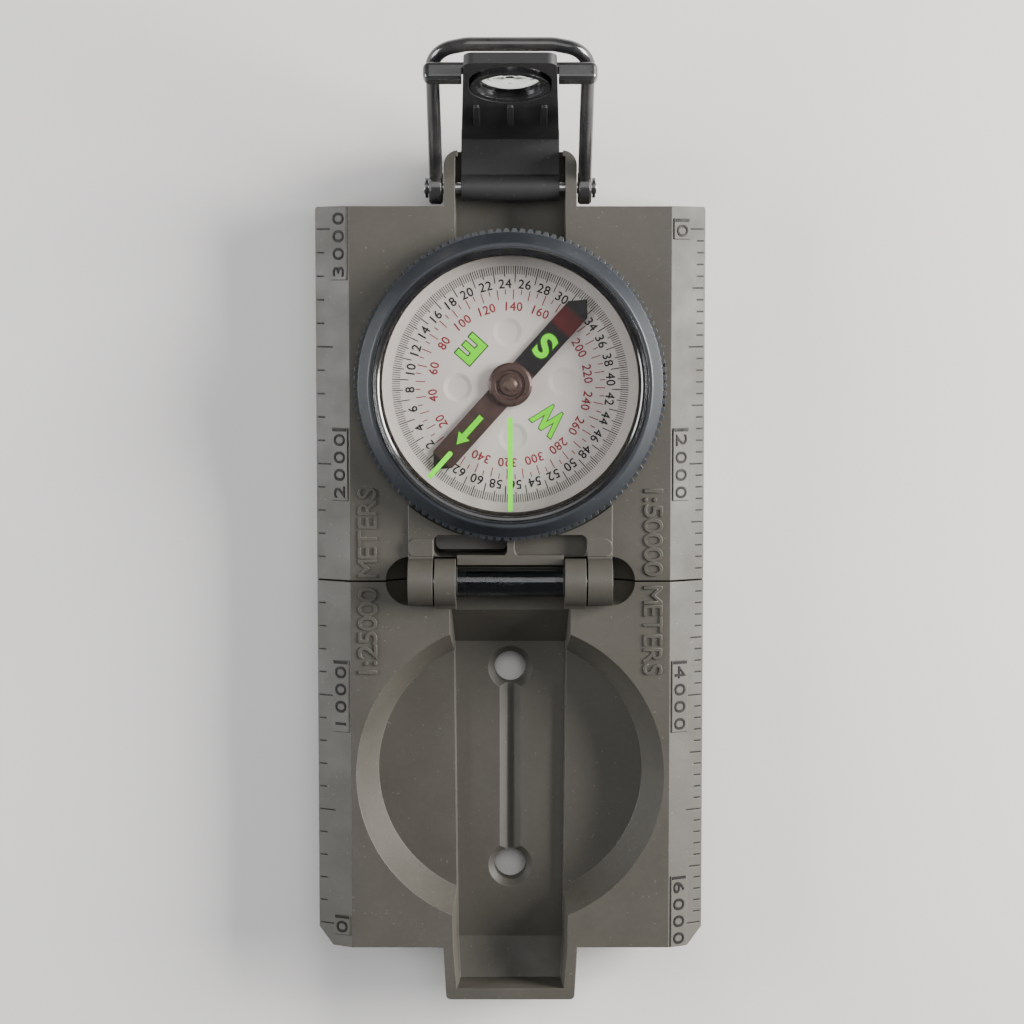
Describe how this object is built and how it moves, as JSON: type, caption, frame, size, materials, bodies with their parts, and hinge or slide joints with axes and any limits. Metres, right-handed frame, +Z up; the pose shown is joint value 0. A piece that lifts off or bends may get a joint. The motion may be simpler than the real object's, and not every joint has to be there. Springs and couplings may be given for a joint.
{
  "type": "sighting compass",
  "caption": "Folding sighting compass with a toothed turning bezel, floating dial, lens bracket, thumb loop, level vial and a slotted lid with map scales.",
  "frame": {"origin": "on the flat underside of the case, straight below the dial's pivot", "axes": "+Z up out of the dial, +Y from the lid towards the lens bracket, +X to the right"},
  "size_m": [0.0666, 0.1632, 0.0422],
  "materials": {
    "body_olive": "satin moulded",
    "steel": "satin",
    "blackened_steel": "gloss",
    "strap_black": "matte",
    "bezel_black": "satin",
    "ring_black": "gloss",
    "clear": "polished",
    "vial_fluid": "polished",
    "gasket": "matte",
    "bowl_white": "satin",
    "card_white": "matte",
    "pointer_brown": "satin",
    "brass": "satin",
    "magnet": "dull",
    "lume": "luminous"
  },
  "bodies": {
    "case": {"case_body": "body_olive", "base_plate": "body_olive", "base_screws": "steel", "capsule_bowl": "bowl_white", "capsule_gasket": "gasket", "capsule_window": "clear", "index_line": "lume", "pivot_post": "steel", "filler_plug": "gasket", "bezel_retainer": "steel", "click_spring": "steel", "hinge_pins": "steel", "rear_pin": "steel", "rear_pin_clips": "blackened_steel"},
    "bezel": {"bezel_ring": "bezel_black", "bezel_crystal": "clear", "crystal_retaining_ring": "ring_black", "bezel_line": "lume"},
    "card": {"card_disc": "card_white", "pointer_bar": "pointer_brown", "bar_magnet": "magnet", "hub_cap": "pointer_brown", "jewel_bearing": "brass"},
    "lens_bracket": {"lens_strap": "strap_black"},
    "lens_slide": {"lens_holder": "strap_black", "magnifier_lens": "clear", "lens_retaining_ring": "ring_black"},
    "thumb_loop": {"thumb_loop": "blackened_steel"},
    "lid": {"lid_shell": "body_olive", "level_vial": "clear", "vial_liquid": "vial_fluid", "vial_plugs": "gasket"}
  },
  "joints": [
    {"name": "lid_hinge", "type": "hinge", "parent": "case", "child": "lid", "pos_m": [0, -0.0336, 0.0137], "axis": [-1, 0, 0], "range_deg": [0, 180]},
    {"name": "lens_bracket_fold", "type": "hinge", "parent": "case", "child": "lens_bracket", "pos_m": [0, 0.0334, 0.0098], "axis": [1, 0, 0], "range_deg": [0, 106.6]},
    {"name": "lens_focus", "type": "slide", "parent": "lens_bracket", "child": "lens_slide", "axis": [0, 0.2857, 0.9583], "range_m": [0, 0.003]},
    {"name": "thumb_loop_swing", "type": "hinge", "parent": "case", "child": "thumb_loop", "pos_m": [0, 0.0334, 0.0098], "axis": [-1, 0, 0], "range_deg": [0, 143]},
    {"name": "bezel_turn", "type": "hinge", "parent": "case", "child": "bezel", "pos_m": [0, 0, 0.015], "axis": [0, 0, 1], "continuous": true},
    {"name": "card_turn", "type": "hinge", "parent": "case", "child": "card", "pos_m": [0, 0, 0.011], "axis": [0, 0, 1], "continuous": true}
  ],
  "couplings": [
    {"joint": "lens_bracket_fold", "follows": "lid_hinge", "ratio": 0.59222}
  ]
}
